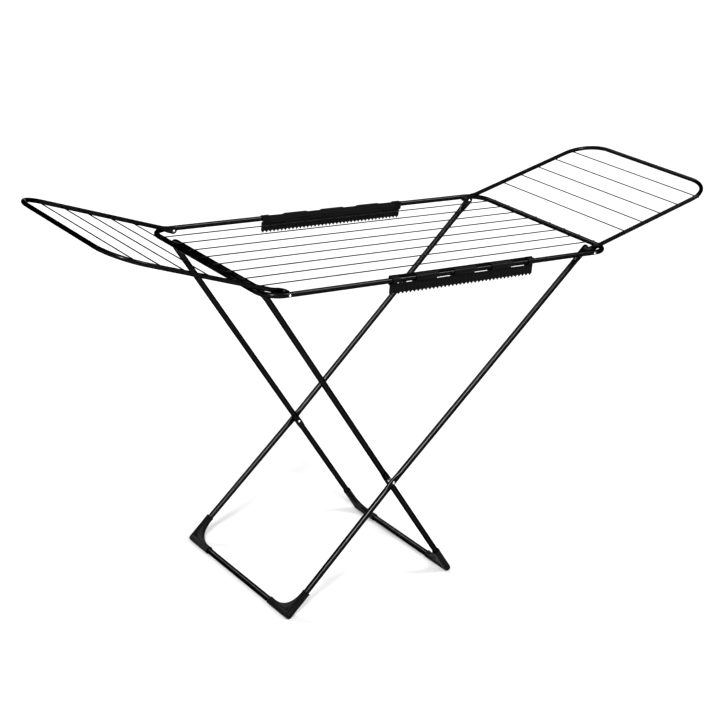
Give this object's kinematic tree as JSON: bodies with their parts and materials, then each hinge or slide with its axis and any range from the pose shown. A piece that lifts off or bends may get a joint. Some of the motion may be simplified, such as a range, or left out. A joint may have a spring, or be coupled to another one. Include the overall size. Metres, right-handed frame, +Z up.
{
  "type": "clothes drying rack",
  "caption": "Free-standing folding clothes drying rack: wire table on crossed tube legs, fold-out wire wings at both ends, toothed small-item holders on the rails.",
  "frame": {"origin": "on the floor, under the middle of the table", "axes": "+X along the rack from leg frame A's top towards leg frame B's top, +Y across the rack, +Z up"},
  "size_m": [1.786, 0.5546, 0.9897],
  "materials": {
    "painted_tube": "glossy black powder coat",
    "painted_wire": "black coated wire",
    "black_plastic": "satin black moulded plastic",
    "zinc_steel": "bright zinc plated steel"
  },
  "bodies": {
    "leg_b": {"leg_b_tube_front": "painted_tube", "leg_b_tube_back": "painted_tube", "shoe_b_front": "black_plastic", "shoe_b_back": "black_plastic", "rivet_crossing_front": "zinc_steel", "rivet_crossing_back": "zinc_steel", "spacer_crossing_front": "zinc_steel", "spacer_crossing_back": "zinc_steel"},
    "leg_a": {"leg_a_frame": "painted_tube", "shoe_a_front": "black_plastic", "shoe_a_back": "black_plastic", "catch_front": "black_plastic", "catch_back": "black_plastic"},
    "table": {"table_frame": "painted_tube", "table_wire_1": "painted_wire", "table_wire_2": "painted_wire", "table_wire_3": "painted_wire", "table_wire_4": "painted_wire", "table_wire_5": "painted_wire", "table_wire_6": "painted_wire", "table_wire_7": "painted_wire", "table_wire_8": "painted_wire", "holder_front": "black_plastic", "holder_back": "black_plastic", "rivet_right_front": "zinc_steel", "rivet_right_back": "zinc_steel", "rivet_left_front": "zinc_steel", "rivet_left_back": "zinc_steel", "spacer_right_front": "black_plastic", "spacer_right_back": "black_plastic", "spacer_left_front": "black_plastic", "spacer_left_back": "black_plastic", "spacer_leg_front": "black_plastic", "spacer_leg_back": "black_plastic"},
    "wing_right": {"wing_right_frame": "painted_tube", "wing_right_wire_1": "painted_wire", "wing_right_wire_2": "painted_wire", "wing_right_wire_3": "painted_wire", "wing_right_wire_4": "painted_wire", "wing_right_wire_5": "painted_wire"},
    "wing_left": {"wing_left_frame": "painted_tube", "wing_left_wire_1": "painted_wire", "wing_left_wire_2": "painted_wire", "wing_left_wire_3": "painted_wire", "wing_left_wire_4": "painted_wire", "wing_left_wire_5": "painted_wire"}
  },
  "joints": [
    {"name": "leg_fold", "type": "hinge", "parent": "leg_b", "child": "leg_a", "pos_m": [-0.077, 0, 0.3058], "axis": [0, 1, 0], "range_deg": [0, 77]},
    {"name": "table_tilt", "type": "hinge", "parent": "leg_b", "child": "table", "pos_m": [0.458, 0, 0.857], "axis": [0, 1, 0], "range_deg": [0, 34]},
    {"name": "right_wing_fold", "type": "hinge", "parent": "table", "child": "wing_right", "pos_m": [0.458, 0, 0.857], "axis": [0, -1, 0], "range_deg": [0, 158]},
    {"name": "left_wing_fold", "type": "hinge", "parent": "table", "child": "wing_left", "pos_m": [-0.458, 0, 0.857], "axis": [0, 1, 0], "range_deg": [0, 158]}
  ],
  "couplings": [
    {"joint": "table_tilt", "follows": "leg_fold", "ratio": 0.44}
  ]
}
